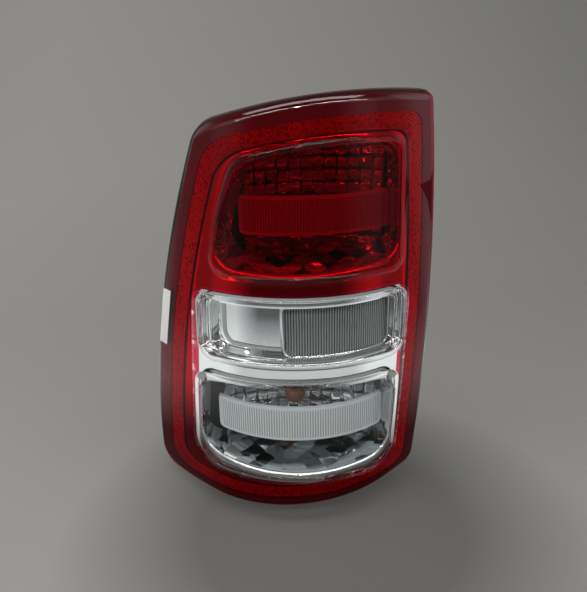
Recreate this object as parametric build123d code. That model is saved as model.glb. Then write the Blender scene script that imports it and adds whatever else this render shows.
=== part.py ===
"""Left-hand rear combination lamp of a pickup truck, wrapped round the corner of the load bed.

The lamp is laid out in its moulding frame: X across the lamp as seen from outside, Y into the
lamp along the die draw, Z up, with the origin on the vertical axis of the lens's corner curve.
At the end it is turned into the vehicle's frame, X inboard, Y forward and Z up, with the origin
midway between its two fixing screws on the inboard face.
"""
import os
from math import asin, cos, degrees, hypot, radians, sin, sqrt

from build123d import *

# Lens skin: a plan curve of three tangent arcs, crowned from top to bottom
corner_radius = 165.0
corner_half_angle = 40.0
flank_radius = 600.0
flank_angle = 14.0
crown_radius = 2000.0
skin_half_height = 270.0
skin_reach = 138.0

# Outlines seen along the die draw: corners as (across, up, rounding) from the lower right round
# to the lower left, and how far the right, top, left and bottom sides bow outwards
lamp_edge = ([(137, -207, 12), (145, 222, 12), (-97, 197, 36), (-177, -232, 20)], [7, 14, 18, 6])
band_edge = ([(124, -202, 14), (129, 204, 16), (-88, 181, 45), (-160, -222, 22)], [7, 10, 14, 3])
stop_window = ([(110, 48, 12), (110, 182, 16), (-60, 165, 26), (-91, 47, 20)], [0, 8, 5, 0])
reverse_window = ([(116, -48, 18), (117, 28, 14), (-106, 28, 14), (-108, -47, 18)], [0, 0, 0, 0])
turn_window = ([(108, -187, 30), (111, -65, 16), (-114, -65, 18), (-121, -186, 32)], [0, 0, 0, 2])
clear_edge = ([(112, -192, 34), (121, 32, 17), (-111, 32, 17), (-126, -192, 36)], [0, 0, 0, 2])
stop_well = ([(118, 51, 28), (118, 186, 30), (-64, 170, 36), (-96, 50, 30)], [0, 8, 5, 0])
turn_well = ([(116, -185, 36), (119, -68, 28), (-122, -68, 28), (-131, -184, 38)], [0, 0, 0, 2])
panel_edge = ([(104, -42, 10), (105, 15, 6), (-92, 15, 6), (-94, -42, 10)], [0, 0, 0, 0])
panel_opening = ([(98, -40.5, 8), (98, 13.5, 4), (-14, 13.5, 4), (-14, -40.5, 11)], [0, 0, 0, 0])

# Lens shell and reflex band
lens_wall = 3.0
lens_lip = 14.0
rim_width = 4.5
rim_height = 1.8
band_width = 16.0
band_thickness = 2.0
weld_gap = 0.2
seat_gap = 0.2
shot_gap = 0.1

# Housing
flank_limit = 46.0
housing_back = -30.0
housing_wall = 2.6
housing_draft = 5.5
flange_thickness = 3.0
flange_width = 12.0

# Bezel: a plated plate behind the lens with a drafted well behind each window
bezel_depth = 12.0
bezel_wall = 2.0
bezel_margin = 1.0
well_draft = 15.0
well_end = -84.0
well_length = 95.0
land_depth = 5.0
land_gap = 1.0
land_wall = 2.5
frame_steps = [(2.0, 9.0), (5.0, 13.0)]
panel_depth = 22.0
panel_rim = 3.0
panel_rim_height = 3.0

# Fluted inner lenses: across, up and depth behind the lens skin
bar_depth = 28.0
bar_thickness = 5.0
bar_round = 5.0
bar_leg = 3.0
bar_leg_inset = 8.0
stop_bar = (-58.0, 97.0, 87.0, 127.0)
turn_bar = (-93.0, 97.0, -151.0, -110.0)
reverse_overlap = 5.0
flute_pitch = 2.9
flute_rise = 0.55

# Reflectors: faceted bowls on each bulb's axis
reflector_wall = 2.5
facet_bulge = 0.5
bulb_axis = {"stop": (14.0, 108.0), "reverse": (42.0, -16.0), "turn": (-4.0, -118.0)}
bowl_span = {"stop": (-58, 95, 57, 171), "reverse": (-20, 92, -49, 17), "turn": (-90, 92, -184, -70)}
bowl_vertex = {"stop": -54.0, "reverse": -58.0, "turn": -54.0}
bowl_focus = {"stop": 100.0, "reverse": 34.0, "turn": 120.0}
bowl_columns = {"stop": 12, "reverse": 9, "turn": 14}
bowl_rows = {"stop": 8, "reverse": 5, "turn": 8}
bowl_round = 9.0
collar_bore = 40.0
collar_wall = 2.0

# Bulbs, twist-lock sockets and their seals
glass_radius = 12.5
glass_neck = 8.0
glass_length = 36.0
base_width = 17.0
base_depth = 8.0
base_seat = 4.0
base_length = 22.0
barrel_radius = 14.5
barrel_length = 16.0
lug_radius = 18.0
lug_width = 8.0
lug_height = 3.0
lug_turn = 40.0
socket_hole = 15.2
socket_flange = 20.0
flange_height = 4.0
gasket_height = 2.0
gasket_radius = 18.6
shroud_width = 22.0
shroud_height = 13.0
shroud_depth = 20.0
shroud_wall = 1.8
terminal_width = 2.8
terminal_thickness = 0.8
terminal_length = 12.0
terminal_spread = 4.5

# Fixings, placed in the vehicle's frame about the lens's corner axis
screw_spacing = 230.0
screw_middle = 0.0
screw_forward = -66.0
screw_hole = 6.6
bush_radius = 5.5
bush_flange = 8.0
bush_flange_height = 1.2
ear_thickness = 4.0
ear_radius = 15.0
ear_root = -118.0
ear_rib = 3.0
stud_places = [(-104.0, 54.0, 115.0), (-134.0, 86.0, -140.0)]
stud_boss = 11.0
stud_boss_length = 34.0
stud_shank = 4.0
stud_length = 16.0
stud_collar = 7.5
stud_collar_height = 2.5
stud_ball = 6.0
stud_anchor = 8.0
vent_places = [(-60.0, 36.0), (52.0, -72.0)]
vent_radius = 4.0
vent_bore = 2.0
vent_spigot = 8.0
vent_cap_wall = 1.6
back_ribs = [160.0, 56.0, -64.0, -168.0]
back_rib_height = 6.0
back_rib_thickness = 2.0
bezel_screw_angle = 14.0
bezel_screw_heights = (191.0, -203.0)
bezel_screw_shank = 1.75
bezel_screw_head = 3.6
bezel_screw_head_height = 2.2
bezel_screw_length = 9.0
bezel_screw_boss = 4.5
thread_gap = 0.1

# Working sizes that reach past every cut
far = 210.0
room = 700.0
vehicle_turn = 45.0


def plan_curve():
    """Plan curve of the lens skin, from the outboard edge to the inboard edge."""
    start = -90 - corner_half_angle
    stop = -90 + corner_half_angle
    shift = corner_radius - flank_radius
    left = Vector(1, 0).rotate(Axis.Z, start) * shift
    right = Vector(1, 0).rotate(Axis.Z, stop) * shift
    return Wire([
        CenterArc(left, flank_radius, start - flank_angle, flank_angle),
        CenterArc((0, 0), corner_radius, start, 2 * corner_half_angle),
        CenterArc(right, flank_radius, stop, flank_angle),
    ])


def skin(front, back):
    """Layer of the lamp between two depths behind the lens skin."""
    def crown(depth):
        end = sqrt((crown_radius - depth) ** 2 - skin_half_height ** 2) - crown_radius
        return ThreePointArc((end, -skin_half_height), (-depth, 0), (end, skin_half_height))

    outer, inner = crown(front), crown(back)
    section = make_face([outer, inner, Line(outer @ 0, inner @ 0), Line(outer @ 1, inner @ 1)])
    path = plan_curve()
    tangent = path % 0
    outward = tangent.rotate(Axis.Z, -90)
    return sweep(Plane(path @ 0, x_dir=outward, z_dir=tangent) * section, path=path)


def crown_sag(up):
    """How far the crowned skin falls back at a height above or below the middle."""
    return crown_radius - sqrt(crown_radius ** 2 - up ** 2)


def outline(shape, inset=0.0):
    """Rounded outline in the die-draw view, with its sides moved in and its roundings kept."""
    corners, bows = shape
    sides = []
    for number, (x0, z0, _) in enumerate(corners):
        x1, z1, _ = corners[(number + 1) % len(corners)]
        bow = bows[number] / hypot(x1 - x0, z1 - z0)
        middle = ((x0 + x1) / 2 + bow * (z1 - z0), (z0 + z1) / 2 - bow * (x1 - x0))
        sides.append(ThreePointArc((x0, z0), middle, (x1, z1)) if bow else Line((x0, z0), (x1, z1)))
    face = make_face(sides)
    if inset:
        face = offset(face, -inset, kind=Kind.INTERSECTION)
    for x, z, rounding in corners:
        face = fillet(face.vertices().sort_by_distance((x, z, 0))[0], rounding)
    return face


def draw(face):
    """Prism along the die draw, through the whole lamp."""
    return extrude(Plane.XZ.offset(far) * face, amount=-2 * far)


def ring(shape, outer, inner):
    """Prism of the strip between two insets of an outline."""
    return draw(outline(shape, outer)) - draw(outline(shape, inner))


def funnel(shape, inset, draft, length):
    """Prism that closes in by a draft angle as it goes back from the lens apex."""
    return extrude(Plane.XZ.offset(corner_radius) * outline(shape, inset), amount=-length, taper=draft)


def outboard_of(limit):
    """Everything outboard of a plane across the vehicle."""
    return Rot(0, 0, vehicle_turn) * Pos(limit - room / 2, 0, 0) * Box(room, room, room)


def ahead_of(limit):
    """Everything nearer to the lens than a plane across the die draw."""
    return Pos(0, limit - room / 2, 0) * Box(room, room, room)


def on_axis(kind):
    """Frame on a bulb's axis at the housing's back, with Z pointing out of the lamp's front."""
    across, up = bulb_axis[kind]
    return Plane((across, housing_back, up), x_dir=(1, 0, 0), z_dir=(0, -1, 0)).location


def make_lenses():
    """Two-shot outer lens: the red shell with its return lip, and the clear insert."""
    block = draw(outline(lamp_edge)) & outboard_of(flank_limit) & skin(0, skin_reach / 2)
    inside = draw(outline(lamp_edge, lens_wall)) & outboard_of(flank_limit - lens_wall)
    shell = block - (inside & skin(lens_wall, skin_reach)) - skin(lens_lip, skin_reach)
    red_rim = ring(stop_window, 0, rim_width) & skin(-rim_height, lens_wall / 2)
    red = shell - draw(outline(clear_edge)) + red_rim
    clear = draw(outline(clear_edge, shot_gap)) & skin(0, lens_wall)
    for window in (reverse_window, turn_window):
        clear += ring(window, 0, rim_width) & skin(-rim_height, lens_wall / 2)
    return red, clear


def make_reflex_band():
    """Strip of reflex prisms all round the lamp, behind the red lens."""
    front = lens_wall + weld_gap
    return ring(band_edge, 0, band_width) & skin(front, front + band_thickness)


def make_bezel():
    """Plated bezel: the plate with a raised land inside the reflex band, two wells and the reverse panel."""
    overlap = bezel_wall / 2
    plate = draw(outline(band_edge, bezel_margin)) & skin(bezel_depth, bezel_depth + bezel_wall)
    plate &= outboard_of(flank_limit - lens_wall - bezel_margin)
    margin = band_width + land_gap
    plate += draw(outline(band_edge, margin)) & skin(land_depth, bezel_depth + overlap)
    hollow = draw(outline(band_edge, margin + land_wall))
    plate -= hollow & skin(land_depth + bezel_wall, skin_reach)
    plate += draw(outline(reverse_window)) & skin(land_depth + overlap, panel_depth + bezel_wall)
    for inset, depth in frame_steps:
        plate -= draw(outline(reverse_window, inset)) & skin(0, depth)
    plate -= draw(outline(panel_edge)) & skin(0, panel_depth)
    for well in (stop_well, turn_well):
        walls = funnel(well, -bezel_wall, well_draft, well_length) & ahead_of(well_end)
        plate += walls & skin(land_depth + overlap, skin_reach)
        plate -= funnel(well, 0, well_draft, well_length)
    plate += ring(panel_opening, -panel_rim, 0) & skin(panel_depth - panel_rim_height, panel_depth + overlap)
    plate -= draw(outline(panel_opening))
    for place in bezel_screw_places():
        plate -= place * Cylinder(bezel_screw_shank + seat_gap, far)
    return plate


def bezel_screw_places():
    """Frames of the bezel's screws on the bezel's front, with Z pointing out of the lamp."""
    crown = crown_radius - bezel_depth
    places = []
    for angle in (-bezel_screw_angle, bezel_screw_angle):
        level = Vector(0, -1, 0).rotate(Axis.Z, angle)
        for up in bezel_screw_heights:
            run = sqrt(crown ** 2 - up ** 2)
            centre = level * (corner_radius - crown_radius + run) + Vector(0, 0, up)
            outward = level * (run / crown) + Vector(0, 0, up / crown)
            places.append(Plane(centre, x_dir=level.cross(outward), z_dir=outward).location)
    return places


def facet_block(kind, lift, wall):
    """Stepped rows of facets that follow a paraboloid, each row a wall of given thickness."""
    across, up = bulb_axis[kind]
    left, right, low, high = bowl_span[kind]
    rows, columns = bowl_rows[kind], bowl_columns[kind]
    height, width = (high - low) / rows, (right - left) / columns
    block = None
    for row in range(rows):
        middle = low + (row + 0.5) * height - up
        inner = max(abs(middle) - height, 0)
        base = bowl_vertex[kind] - lift - middle ** 2 / (4 * bowl_focus[kind])
        step = (middle ** 2 - inner ** 2) / (4 * bowl_focus[kind])
        points = []
        for column in range(columns + 1):
            x = left + column * width
            points.append(Vector(x, base - (x - across) ** 2 / (4 * bowl_focus[kind])))
        front = []
        for p, q in zip(points, points[1:]):
            front.append(ThreePointArc(p, (p + q) / 2 - Vector(0, facet_bulge), q))
        shift = Vector(0, wall + step)
        back = Polyline(points[0], *[p + shift for p in points], points[-1])
        slab = extrude(Pos(0, 0, low + row * height) * make_face(front + back.edges()), amount=height)
        block = slab if block is None else block + slab
    return block


def make_reflector(kind):
    """Faceted bowl with a collar round the bulb that stands on the housing's back."""
    left, right, low, high = bowl_span[kind]
    shape = ([(right, low, bowl_round), (right, high, bowl_round),
              (left, high, bowl_round), (left, low, bowl_round)], [0, 0, 0, 0])
    bowl = facet_block(kind, 0, reflector_wall) & draw(outline(shape))
    axis = on_axis(kind)
    foot = housing_wall + seat_gap
    top = housing_back - bowl_vertex[kind]
    collar = axis * Pos(0, 0, foot) * Cylinder(
        collar_bore / 2 + collar_wall, top - foot, align=(Align.CENTER, Align.CENTER, Align.MIN))
    return bowl + collar - axis * Cylinder(collar_bore / 2, 2 * far)


def fluted_face(depth, left, right, wall):
    """Plan section of an inner lens, with convex flutes along its front."""
    radius = corner_radius - depth
    start, stop = degrees(asin(left / radius)), degrees(asin(right / radius))
    count = round(radians(stop - start) * radius / flute_pitch)

    def at(angle, r):
        return Vector(0, -r).rotate(Axis.Z, angle)

    step = (stop - start) / count
    edges = []
    for number in range(count):
        a = start + number * step
        crest = at(a + step / 2, radius)
        edges.append(ThreePointArc(at(a, radius - flute_rise), crest, at(a + step, radius - flute_rise)))
    back = radius - wall
    edges += [ThreePointArc(at(start, back), at((start + stop) / 2, back), at(stop, back))]
    edges += [Line(at(start, back), at(start, radius - flute_rise))]
    edges += [Line(at(stop, back), at(stop, radius - flute_rise))]
    return make_face(edges)


def make_bar(kind, span):
    """Fluted light bar in front of a bulb, on two end legs that stand on the reflector."""
    left, right, low, high = span
    middle = (low + high) / 2
    sag = crown_sag(middle)
    section = fluted_face(bar_depth, left, right, bar_thickness)
    bar = extrude(Pos(0, 0, low) * section, amount=high - low)
    radius = corner_radius - bar_depth - bar_thickness / 2
    for end in (left + bar_leg_inset, right - bar_leg_inset):
        edge = -sqrt(radius ** 2 - end ** 2)
        leg = Pos(end, edge / 2, middle) * Box(bar_leg, -edge, high - low)
        bar += leg - facet_block(kind, seat_gap + sag, far)
    shape = ([(right, low, bar_round), (right, high, bar_round),
              (left, high, bar_round), (left, low, bar_round)], [0, 0, 0, 0])
    return Pos(0, sag, 0) * (bar & draw(outline(shape)))


def make_reverse_lens():
    """Fluted inner lens clipped behind the opening of the reverse panel."""
    (right, low, _), (_, high, _), (left, _, _), _ = panel_opening[0]
    span = left - reverse_overlap, right + reverse_overlap
    section = fluted_face(panel_depth + bezel_wall + seat_gap, *span, bar_thickness)
    bottom, top = low - reverse_overlap, high + reverse_overlap
    sag = crown_sag(max(-bottom, top))
    return extrude(Pos(0, sag, bottom) * section, amount=top - bottom)


def make_bulb(kind):
    """Blown glass of a wedge-base bulb, and its moulded base."""
    bottom = base_seat + base_length
    shoulder = bottom + glass_length - 2 * glass_radius
    tip = bottom + glass_length
    profile = make_face([
        Line((0, bottom), (glass_neck, bottom)),
        Spline((glass_neck, bottom), (glass_radius, shoulder + glass_radius),
               tangents=[(0, 1), (0, 1)]),
        ThreePointArc((glass_radius, shoulder + glass_radius),
                      (glass_radius * sin(radians(45)), shoulder + glass_radius * (1 + cos(radians(45)))),
                      (0, tip)),
        Line((0, tip), (0, bottom)),
    ])
    glass = revolve(Plane.XZ * profile, axis=Axis.Z)
    base = Pos(0, 0, base_seat) * Box(
        base_width, base_depth, base_length - seat_gap, align=(Align.CENTER, Align.CENTER, Align.MIN))
    axis = on_axis(kind)
    return axis * glass, axis * base


def make_socket(kind):
    """Twist-lock bulb holder with three lugs and a connector shroud, and its face seal."""
    up = (Align.CENTER, Align.CENTER, Align.MIN)
    down = (Align.CENTER, Align.CENTER, Align.MAX)
    barrel = Pos(0, 0, -gasket_height) * Cylinder(barrel_radius, barrel_length + gasket_height, align=up)
    barrel += Pos(0, 0, -gasket_height) * Cylinder(socket_flange, flange_height, align=down)
    for number in range(3):
        lug = Box(lug_radius, lug_width, lug_height, align=(Align.MIN, Align.CENTER, Align.MIN))
        lug &= Cylinder(lug_radius, lug_height, align=up)
        barrel += Rot(0, 0, lug_turn + 120 * number) * Pos(0, 0, housing_wall + seat_gap) * lug
    slot_size = base_width + 2 * seat_gap, base_depth + 2 * seat_gap
    barrel -= Pos(0, 0, base_seat - seat_gap) * Box(*slot_size, barrel_length, align=up)
    shroud = Pos(0, 0, -gasket_height - flange_height) * Box(
        shroud_width, shroud_height, shroud_depth, align=down)
    shroud -= Pos(0, 0, -gasket_height - flange_height - shroud_wall) * Box(
        shroud_width - 2 * shroud_wall, shroud_height - 2 * shroud_wall, shroud_depth, align=down)
    holder = barrel + fillet(shroud.edges().filter_by(Axis.Z), shroud_wall / 2)
    gasket = Cylinder(gasket_radius, gasket_height, align=down)
    gasket -= Cylinder(barrel_radius + seat_gap, far)
    axis = on_axis(kind)
    return axis * holder, axis * gasket


def socket_cut(kind):
    """Keyhole in the housing's back that a socket's lugs pass through."""
    hole = Cylinder(socket_hole, 2 * housing_wall + 2)
    for number in range(3):
        notch = Box(lug_radius + seat_gap, lug_width + 1, 2 * housing_wall + 2,
                    align=(Align.MIN, Align.CENTER, Align.CENTER))
        hole += Rot(0, 0, 120 * number) * notch
    return on_axis(kind) * Pos(0, 0, housing_wall / 2) * hole


def vehicle_frame(inboard, forward, up, z_dir):
    """Frame at a point given in the vehicle's axes, with Z along a given vehicle axis."""
    place = Plane((inboard, forward, up), x_dir=(0, 0, 1), z_dir=z_dir).location
    return Rot(0, 0, vehicle_turn) * place


def screw_frames():
    """Frames of the two fixing screws on the inboard face, with Z pointing inboard."""
    ups = (screw_middle - screw_spacing / 2, screw_middle + screw_spacing / 2)
    return [vehicle_frame(flank_limit, screw_forward, up, (1, 0, 0)) for up in ups]


def make_ear():
    """Screw ear along the inboard face, with two webs back to the bucket, about its screw hole."""
    length = screw_forward - ear_root
    ear = Pos(0, length / 2, -ear_thickness / 2) * Box(2 * ear_radius, length, ear_thickness)
    ear += Pos(0, 0, -ear_thickness / 2) * Cylinder(ear_radius, ear_thickness)
    corner = screw_forward + flank_limit - sqrt(2) * housing_back
    tip = -ear_radius / 2
    heel = corner + housing_wall
    web = make_face(Polyline((heel, 0), (tip, 0), (tip, tip - heel), close=True))
    for side in (-1, 1):
        place = Pos(side * (ear_radius - ear_rib / 2), 0, 0)
        ear += extrude(place * Plane.YZ * web, amount=ear_rib / 2, both=True)
    return ear


def make_housing():
    """Moulded bucket with a welding flange, socket holes, fixing ears and stud bosses."""
    top = lens_lip + weld_gap
    flange = draw(outline(lamp_edge)) & outboard_of(flank_limit) & skin(top, top + flange_thickness)
    flange -= draw(outline(band_edge, flange_width))
    depth = corner_radius + housing_back
    bucket = funnel(band_edge, 0, housing_draft, depth) & outboard_of(flank_limit)
    bucket &= skin(top + flange_thickness / 2, skin_reach)
    hollow = funnel(band_edge, housing_wall, housing_draft, depth - housing_wall)
    hollow &= outboard_of(flank_limit - housing_wall)
    below = (Align.CENTER, Align.CENTER, Align.MAX)
    for up in back_ribs:
        rib = Pos(0, housing_back, up) * Box(room, 2 * back_rib_height, back_rib_thickness)
        bucket += rib & draw(outline(band_edge, 2 * flange_width)) & outboard_of(flank_limit - flange_width)
    for frame in screw_frames():
        bucket += frame * make_ear()
    for inboard, forward, up in stud_places:
        boss = Cylinder(stud_boss, stud_boss_length, align=below)
        bucket += vehicle_frame(inboard, forward, up, (0, 1, 0)) * boss
    for across, up in vent_places:
        spigot = Cylinder(vent_radius, 2 * vent_spigot)
        bucket += Pos(across, housing_back, up) * Rot(90, 0, 0) * spigot
    housing = bucket - hollow + flange
    for place in bezel_screw_places():
        boss = Cylinder(bezel_screw_boss, bezel_screw_length, align=below)
        housing += place * Pos(0, 0, -bezel_wall - seat_gap) * boss - skin(0, top)
    for place in bezel_screw_places():
        housing -= place * Cylinder(bezel_screw_shank + thread_gap, 3 * bezel_screw_length)
    for frame in screw_frames():
        housing -= frame * Cylinder(bush_radius + thread_gap, 4 * ear_thickness)
    for inboard, forward, up in stud_places:
        hole = Cylinder(stud_shank + thread_gap, stud_anchor + seat_gap, align=below)
        housing -= vehicle_frame(inboard, forward, up, (0, 1, 0)) * hole
    for across, up in vent_places:
        housing -= Pos(across, housing_back, up) * Rot(90, 0, 0) * Cylinder(vent_bore, 4 * vent_spigot)
    for kind in bulb_axis:
        housing -= socket_cut(kind)
    return housing


def make_bezel_screws():
    """Pan-head screws that hold the bezel to the housing."""
    above = (Align.CENTER, Align.CENTER, Align.MIN)
    head = Pos(0, 0, seat_gap) * Cylinder(bezel_screw_head, bezel_screw_head_height, align=above)
    head = fillet(head.edges().sort_by(Axis.Z)[-1], bezel_screw_head_height / 2)
    shank = Pos(0, 0, 2 * seat_gap - bezel_screw_length) * Cylinder(
        bezel_screw_shank, bezel_screw_length, align=above)
    return [place * (head + shank) for place in bezel_screw_places()]


def make_screw_bushes():
    """Flanged steel sleeves that take the clamping load of the fixing screws."""
    above = (Align.CENTER, Align.CENTER, Align.MIN)
    below = (Align.CENTER, Align.CENTER, Align.MAX)
    bush = Cylinder(bush_radius, ear_thickness, align=below)
    bush += Cylinder(bush_flange, bush_flange_height, align=above)
    bush -= Cylinder(screw_hole / 2, 4 * ear_thickness)
    return [frame * bush for frame in screw_frames()]


def make_locating_studs():
    """Ball studs that snap into grommets in the body, screwed into the housing's bosses."""
    neck = stud_length - sqrt(stud_ball ** 2 - stud_shank ** 2)
    tip = stud_length + stud_ball
    profile = make_face([
        Line((0, -stud_anchor), (stud_shank, -stud_anchor)),
        Line((stud_shank, -stud_anchor), (stud_shank, 0)),
        Line((stud_shank, 0), (stud_collar, 0)),
        Line((stud_collar, 0), (stud_collar, stud_collar_height)),
        Line((stud_collar, stud_collar_height), (stud_shank, stud_collar_height)),
        Line((stud_shank, stud_collar_height), (stud_shank, neck)),
        ThreePointArc((stud_shank, neck), (stud_ball, stud_length), (0, tip)),
        Line((0, tip), (0, -stud_anchor)),
    ])
    stud = revolve(Plane.XZ * profile, axis=Axis.Z)
    return [vehicle_frame(*place, (0, 1, 0)) * stud for place in stud_places]


def make_vent_caps():
    """Rubber caps that sit loosely over the housing's breather spigots."""
    inner = vent_radius + seat_gap
    cap = Cylinder(inner + vent_cap_wall, vent_spigot)
    cap -= Pos(0, 0, vent_cap_wall) * Cylinder(inner, vent_spigot)
    cap = fillet(cap.edges().sort_by(Axis.Z)[0], vent_cap_wall / 2)
    middle = housing_back + vent_spigot / 2 + vent_cap_wall + seat_gap
    return [Pos(across, middle, up) * Rot(90, 0, 0) * cap for across, up in vent_places]


def make_terminals():
    """Blade terminals standing in each socket's connector shroud, two to a socket."""
    blades = []
    floor = -gasket_height - flange_height - shroud_wall
    size = terminal_width, terminal_thickness, terminal_length
    for kind in bulb_axis:
        for side in (-1, 1):
            blade = Box(*size, align=(Align.CENTER, Align.CENTER, Align.MAX))
            blade = Pos(side * terminal_spread, 0, floor - seat_gap) * blade
            blades.append(on_axis(kind) * blade)
    return blades


nodes = {"housing": make_housing(), "reflex_band": make_reflex_band(), "bezel": make_bezel()}
nodes["outer_lens_red"], nodes["outer_lens_clear"] = make_lenses()
for kind in bulb_axis:
    nodes[f"{kind}_reflector"] = make_reflector(kind)
    nodes[f"{kind}_bulb_glass"], nodes[f"{kind}_bulb_base"] = make_bulb(kind)
    nodes[f"{kind}_socket"], nodes[f"{kind}_socket_gasket"] = make_socket(kind)
nodes["stop_inner_lens"] = make_bar("stop", stop_bar)
nodes["turn_inner_lens"] = make_bar("turn", turn_bar)
nodes["reverse_inner_lens"] = make_reverse_lens()
nodes["bezel_screws"] = make_bezel_screws()
nodes["screw_bushes"] = make_screw_bushes()
nodes["locating_studs"] = make_locating_studs()
nodes["vent_caps"] = make_vent_caps()
nodes["socket_terminals"] = make_terminals()

to_row = Pos(-flank_limit, -screw_forward, -screw_middle) * Rot(0, 0, -vehicle_turn)
os.makedirs("parts", exist_ok=True)
for name, node in nodes.items():
    solids = node if isinstance(node, list) else [node]
    placed = [to_row * solid for solid in solids]
    export_step(Compound(children=placed) if len(placed) > 1 else placed[0], f"parts/{name}.step")
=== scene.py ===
import math
import bmesh
import bpy
import numpy as np
from mathutils import Matrix, Vector, kdtree
from mathutils.geometry import delaunay_2d_cdt


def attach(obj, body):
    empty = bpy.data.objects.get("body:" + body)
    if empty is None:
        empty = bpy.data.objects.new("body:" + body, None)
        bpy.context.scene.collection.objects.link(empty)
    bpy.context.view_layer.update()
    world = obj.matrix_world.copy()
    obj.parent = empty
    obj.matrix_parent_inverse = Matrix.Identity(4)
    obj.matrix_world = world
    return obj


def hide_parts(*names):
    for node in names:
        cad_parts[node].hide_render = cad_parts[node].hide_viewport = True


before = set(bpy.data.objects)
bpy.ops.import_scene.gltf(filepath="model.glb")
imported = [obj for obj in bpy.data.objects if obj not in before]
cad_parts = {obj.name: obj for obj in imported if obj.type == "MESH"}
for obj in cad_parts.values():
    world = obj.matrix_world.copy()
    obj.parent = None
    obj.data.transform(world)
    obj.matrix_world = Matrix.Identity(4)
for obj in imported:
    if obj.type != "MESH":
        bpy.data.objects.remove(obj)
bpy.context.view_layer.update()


# Housing: the black bucket that everything is built into, moulded in talc-filled polypropylene.
# The lens is welded to its flange, and the sockets, screws and studs go into its back.
def linear(code):
    """Linear colour of an sRGB hex code."""
    channels = [int(code[i:i + 2], 16) / 255 for i in (1, 3, 5)]
    return [c / 12.92 if c <= 0.04045 else ((c + 0.055) / 1.055) ** 2.4 for c in channels] + [1.0]


def add(tree, kind, sockets=None, **settings):
    """Adds a node with its settings and inputs. A node given as an input links its first output in use."""
    node = tree.nodes.new(kind)
    for name, value in settings.items():
        setattr(node, name, value)
    for name, value in (sockets or {}).items():
        if isinstance(value, bpy.types.Node):
            value = next(socket for socket in value.outputs if socket.enabled)
        if isinstance(value, bpy.types.NodeSocket):
            tree.links.new(value, node.inputs[name])
        else:
            node.inputs[name].default_value = value
    return node


def finish_named(name):
    """Empty material and its node tree."""
    material = bpy.data.materials.new(name)
    material.use_nodes = True
    material.node_tree.nodes.clear()
    return material, material.node_tree


def grained(name, low, high, rough, grain_mm, depth, **more):
    """Moulded or cast surface: two close tones, a grain of a real size, and uneven gloss."""
    cloud_mm, uneven = 40, 0.08
    material, tree = finish_named(name)
    place = add(tree, "ShaderNodeTexCoord").outputs["Object"]
    grain = add(tree, "ShaderNodeTexNoise", {"Vector": place, "Scale": 1000 / grain_mm, "Detail": 3.0})
    cloud = add(tree, "ShaderNodeTexNoise", {"Vector": place, "Scale": 1000 / cloud_mm, "Detail": 2.0})
    tone = add(tree, "ShaderNodeMix", {"Factor": cloud, "A": linear(low), "B": linear(high)},
               data_type="RGBA")
    gloss = add(tree, "ShaderNodeMapRange", {"Value": cloud, "To Min": rough - uneven,
                                             "To Max": rough + uneven})
    bump = add(tree, "ShaderNodeBump", {"Height": grain, "Distance": depth / 1000, "Strength": 0.6})
    shader = add(tree, "ShaderNodeBsdfPrincipled", {"Base Color": tone, "Roughness": gloss, "Normal": bump,
                                                    **more})
    add(tree, "ShaderNodeOutputMaterial", {"Surface": shader})
    return material


def dress(node, material):
    """Gives a carried-over solid its finish."""
    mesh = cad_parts[node].data
    mesh.materials.clear()
    mesh.materials.append(material)


# Black polypropylene: a fine spark-eroded grain that breaks the light into a dull sheen
black_polypropylene = grained("black_polypropylene", "#0d0d0e", "#18181a", rough=0.55, grain_mm=0.9,
                              depth=0.05)
dress("housing", black_polypropylene)


# Fixings on the back: steel bushes and ball studs, rubber breather caps and seals, and the bezel's screws.
# The steel is turned and zinc plated, and the caps are moulded rubber pushed over their spigots.
# Zinc plate: bright grey, a little cloudy, with the marks of turning
zinc_plate = grained("zinc_plated_steel", "#a6a8a8", "#c4c5c2", rough=0.32, grain_mm=0.5, depth=0.01,
                     Metallic=1.0)
# Nitrile rubber: near black and dull
nitrile_rubber = grained("nitrile_rubber", "#101011", "#1c1c1c", rough=0.75, grain_mm=0.6, depth=0.03)
for node in ("screw_bushes", "locating_studs", "bezel_screws"):
    dress(node, zinc_plate)
for node in ("vent_caps", "stop_socket_gasket", "reverse_socket_gasket", "turn_socket_gasket"):
    dress(node, nitrile_rubber)


# Bulb holders: twist-lock sockets in glass-filled nylon, with tinned blades in the connector.
# Each bulb's wedge base, in pale moulded plastic, is pushed into its socket.
# Glass-filled nylon: dark grey with a faint mottle from the fibres
filled_nylon = grained("glass_filled_nylon", "#232426", "#303134", rough=0.5, grain_mm=1.2, depth=0.04)
# Tinned brass: pale, warm and soft-edged in its shine
tinned_brass = grained("tinned_brass", "#b7ab8e", "#cfc6ac", rough=0.3, grain_mm=0.4, depth=0.01,
                       Metallic=1.0)
# Pale phenolic: the dull off-white of a bulb base
pale_phenolic = grained("pale_phenolic", "#b3afa4", "#c7c3b8", rough=0.5, grain_mm=0.8, depth=0.03)
for kind in ("stop", "reverse", "turn"):
    dress(f"{kind}_socket", filled_nylon)
    dress(f"{kind}_bulb_base", pale_phenolic)
dress("socket_terminals", tinned_brass)


# Reflectors: three bowls of pillowed facets round the bulbs, moulded and then vacuum plated.
# They stand on the housing's back and throw the bulbs' light forward through the windows.
half = math.sqrt(0.5)
vehicle_turn = np.array([[half, -half, 0], [half, half, 0], [0, 0, 1]])
vehicle_shift = np.array([-46, 66, 0])
scene = bpy.context.scene


def placed(points):
    """Points of the moulding frame in millimetres, turned into the vehicle's frame in metres."""
    return (np.asarray(points, float) @ vehicle_turn + vehicle_shift) / 1000


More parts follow.
